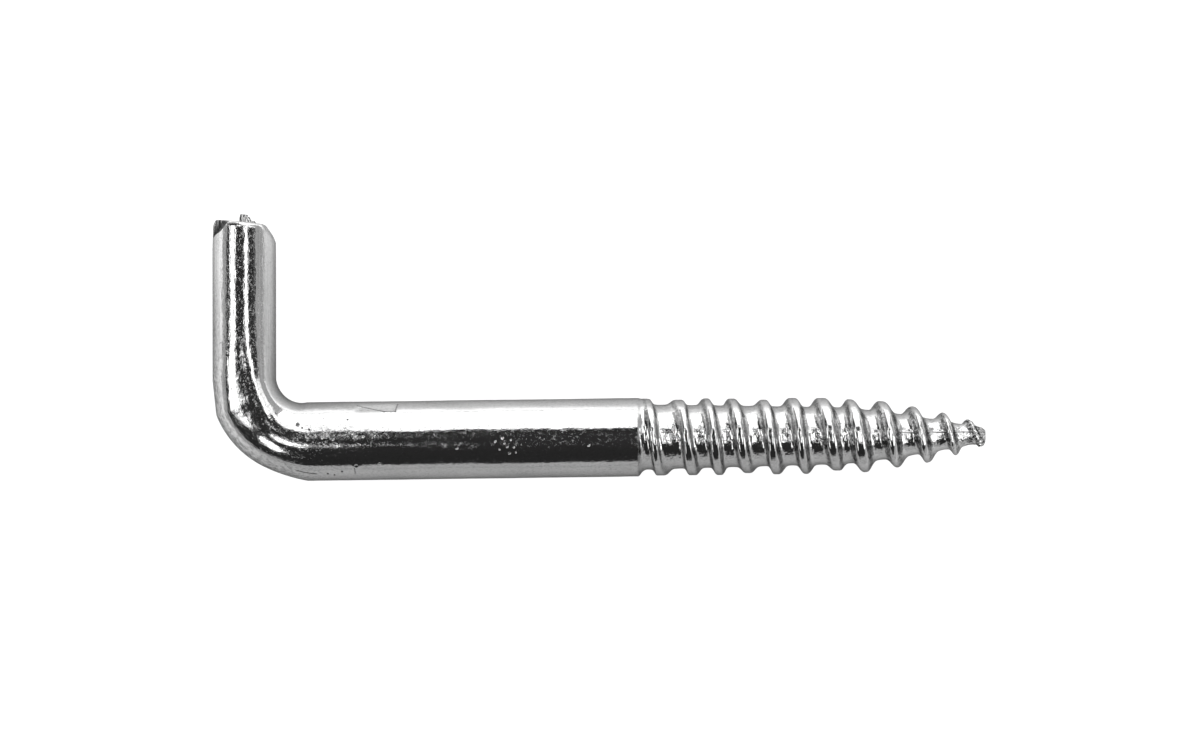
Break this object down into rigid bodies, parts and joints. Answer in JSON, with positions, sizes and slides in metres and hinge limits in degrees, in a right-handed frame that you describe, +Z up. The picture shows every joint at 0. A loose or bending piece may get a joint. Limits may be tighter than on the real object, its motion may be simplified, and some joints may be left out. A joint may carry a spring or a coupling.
{
  "type": "screw hook",
  "caption": "Square-bend screw hook: round plated steel wire with a short upright leg at one end and a coarse tapered wood thread at the other.",
  "frame": {"origin": "middle of the hook's box at the level of the surface that it lies on", "axes": "+X along the shank from the leg to the point, +Y the way the leg points, +Z up from the surface"},
  "size_m": [0.059, 0.0204, 0.006],
  "materials": {
    "zinc_plated_steel": "gloss"
  },
  "bodies": {
    "root": {"screw_hook": "zinc_plated_steel"}
  },
  "joints": []
}
